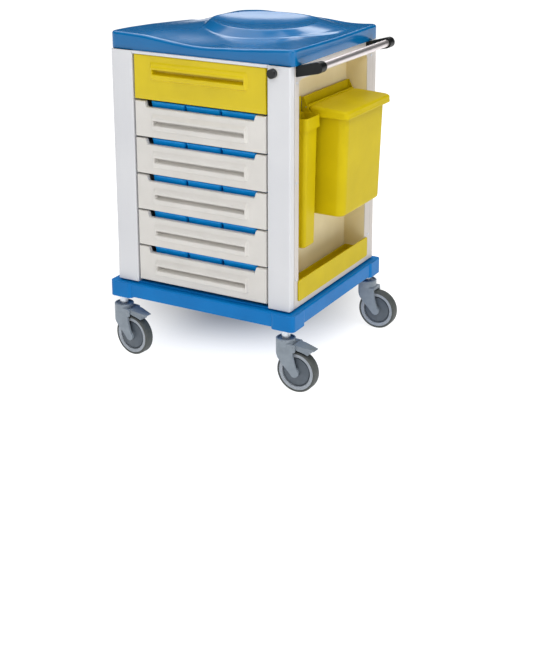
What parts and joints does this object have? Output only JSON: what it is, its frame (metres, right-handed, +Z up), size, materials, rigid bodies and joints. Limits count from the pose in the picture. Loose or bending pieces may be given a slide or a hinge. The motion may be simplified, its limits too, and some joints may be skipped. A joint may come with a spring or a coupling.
{
  "type": "ward treatment drawer trolley",
  "caption": "Wheeled ward trolley: steel body on a moulded base, notched drawers with recessed pulls, scooped worktop, side bay with hang-on bins, push handle.",
  "frame": {"origin": "on the floor under the middle of the overall box, casters and handle included", "axes": "+Z up, drawers open towards -Y, the push handle and the side bay face +X"},
  "size_m": [0.71, 0.6098, 1.014],
  "materials": {
    "blue_moulding": "satin moulded plastic",
    "blue_plastic": "smooth moulded plastic",
    "white_steel": "smooth powder coat",
    "cream_steel": "matt powder coat",
    "grey_plastic": "fine-grained moulded plastic",
    "yellow_plastic": "satin moulded plastic",
    "yellow_bin_plastic": "smooth moulded plastic",
    "black_plastic": "fine-grained moulded plastic",
    "pale_plastic": "smooth moulded plastic",
    "caster_grey": "smooth moulded plastic",
    "hub_grey": "smooth moulded plastic",
    "tyre_rubber": "soft grey rubber",
    "bright_steel": "zinc plated or brushed"
  },
  "bodies": {
    "body": {"base": "blue_moulding", "floor_pan": "blue_moulding", "front_posts": "white_steel", "rear_posts": "white_steel", "left_panel": "white_steel", "back_panel": "white_steel", "top_rail": "white_steel", "side_frame": "white_steel", "bay_liner": "cream_steel", "frame_screws": "bright_steel", "inner_walls": "white_steel", "worktop": "blue_moulding", "handle_arms": "black_plastic", "handle_tube": "bright_steel", "lock_bezel": "pale_plastic", "drawer_rails": "bright_steel", "bin_rail": "bright_steel", "caster_stems": "bright_steel"},
    "lock": {"lock_knob": "black_plastic", "lock_cam": "bright_steel"},
    "drawer_1": {"drawer_1_front": "yellow_plastic", "drawer_1_box": "white_steel"},
    "drawer_2": {"drawer_2_front": "grey_plastic", "drawer_2_box": "white_steel", "drawer_2_bins": "blue_plastic"},
    "drawer_3": {"drawer_3_front": "grey_plastic", "drawer_3_box": "white_steel", "drawer_3_bins": "blue_plastic"},
    "drawer_4": {"drawer_4_front": "grey_plastic", "drawer_4_box": "white_steel", "drawer_4_bins": "blue_plastic"},
    "drawer_5": {"drawer_5_front": "grey_plastic", "drawer_5_box": "white_steel", "drawer_5_bins": "blue_plastic"},
    "drawer_6": {"drawer_6_front": "grey_plastic", "drawer_6_box": "white_steel", "drawer_6_bins": "blue_plastic"},
    "front_left_swivel": {"front_left_fork": "caster_grey", "front_left_axle": "bright_steel"},
    "front_left_roller": {"front_left_wheel": "hub_grey", "front_left_tyre": "tyre_rubber"},
    "front_left_brake": {"front_left_pedal": "caster_grey"},
    "front_right_swivel": {"front_right_fork": "caster_grey", "front_right_axle": "bright_steel"},
    "front_right_roller": {"front_right_wheel": "hub_grey", "front_right_tyre": "tyre_rubber"},
    "front_right_brake": {"front_right_pedal": "caster_grey"},
    "rear_left_swivel": {"rear_left_fork": "caster_grey", "rear_left_axle": "bright_steel"},
    "rear_left_roller": {"rear_left_wheel": "hub_grey", "rear_left_tyre": "tyre_rubber"},
    "rear_right_swivel": {"rear_right_fork": "caster_grey", "rear_right_axle": "bright_steel"},
    "rear_right_roller": {"rear_right_wheel": "hub_grey", "rear_right_tyre": "tyre_rubber"},
    "large_bin": {"large_bin": "yellow_bin_plastic", "lid_pin": "bright_steel"},
    "bin_lid": {"bin_lid": "yellow_bin_plastic"},
    "narrow_bin": {"narrow_bin": "yellow_bin_plastic"},
    "side_tray": {"side_tray": "yellow_bin_plastic"}
  },
  "joints": [
    {"name": "drawer_1_slide", "type": "slide", "parent": "body", "child": "drawer_1", "axis": [0, -1, 0], "range_m": [0, 0.4]},
    {"name": "drawer_2_slide", "type": "slide", "parent": "body", "child": "drawer_2", "axis": [0, -1, 0], "range_m": [0, 0.4]},
    {"name": "drawer_3_slide", "type": "slide", "parent": "body", "child": "drawer_3", "axis": [0, -1, 0], "range_m": [0, 0.4]},
    {"name": "drawer_4_slide", "type": "slide", "parent": "body", "child": "drawer_4", "axis": [0, -1, 0], "range_m": [0, 0.4]},
    {"name": "drawer_5_slide", "type": "slide", "parent": "body", "child": "drawer_5", "axis": [0, -1, 0], "range_m": [0, 0.4]},
    {"name": "drawer_6_slide", "type": "slide", "parent": "body", "child": "drawer_6", "axis": [0, -1, 0], "range_m": [0, 0.4]},
    {"name": "front_left_swivel", "type": "hinge", "parent": "body", "child": "front_left_swivel", "pos_m": [-0.3195, -0.27262, 0.159], "axis": [0, 0, 1], "continuous": true},
    {"name": "front_left_roll", "type": "hinge", "parent": "front_left_swivel", "child": "front_left_roller", "pos_m": [-0.2798, -0.27749, 0.0625], "axis": [0.1219, 0.9925, 0], "continuous": true},
    {"name": "front_left_brake", "type": "hinge", "parent": "front_left_swivel", "child": "front_left_brake", "pos_m": [-0.28377, -0.27701, 0.143], "axis": [0.1219, 0.9925, 0], "range_deg": [0, 7]},
    {"name": "front_right_swivel", "type": "hinge", "parent": "body", "child": "front_right_swivel", "pos_m": [0.2525, -0.27262, 0.159], "axis": [0, 0, 1], "continuous": true},
    {"name": "front_right_roll", "type": "hinge", "parent": "front_right_swivel", "child": "front_right_roller", "pos_m": [0.2925, -0.27262, 0.0625], "axis": [0, 1, 0], "continuous": true},
    {"name": "front_right_brake", "type": "hinge", "parent": "front_right_swivel", "child": "front_right_brake", "pos_m": [0.2885, -0.27262, 0.143], "axis": [0, 1, 0], "range_deg": [0, 7]},
    {"name": "rear_left_swivel", "type": "hinge", "parent": "body", "child": "rear_left_swivel", "pos_m": [-0.3195, 0.27538, 0.159], "axis": [0, 0, 1], "continuous": true},
    {"name": "rear_left_roll", "type": "hinge", "parent": "rear_left_swivel", "child": "rear_left_roller", "pos_m": [-0.2795, 0.27538, 0.0625], "axis": [0, 1, 0], "continuous": true},
    {"name": "rear_right_swivel", "type": "hinge", "parent": "body", "child": "rear_right_swivel", "pos_m": [0.2525, 0.27538, 0.159], "axis": [0, 0, 1], "continuous": true},
    {"name": "rear_right_roll", "type": "hinge", "parent": "rear_right_swivel", "child": "rear_right_roller", "pos_m": [0.2925, 0.27538, 0.0625], "axis": [0, 1, 0], "continuous": true},
    {"name": "lock_turn", "type": "hinge", "parent": "body", "child": "lock", "pos_m": [0.2145, -0.27562, 0.932], "axis": [0, -1, 0], "range_deg": [0, 90]},
    {"name": "large_bin_lift", "type": "slide", "parent": "body", "child": "large_bin", "axis": [0, 0, 1], "range_m": [0, 0.02]},
    {"name": "lid_hinge", "type": "hinge", "parent": "large_bin", "child": "bin_lid", "pos_m": [0.2155, 0.06288, 0.799], "axis": [0, -1, 0], "range_deg": [0, 50]},
    {"name": "narrow_bin_lift", "type": "slide", "parent": "body", "child": "narrow_bin", "axis": [0, 0, 1], "range_m": [0, 0.02]},
    {"name": "side_tray_slide", "type": "slide", "parent": "body", "child": "side_tray", "axis": [1, 0, 0], "range_m": [0, 0.08]}
  ]
}
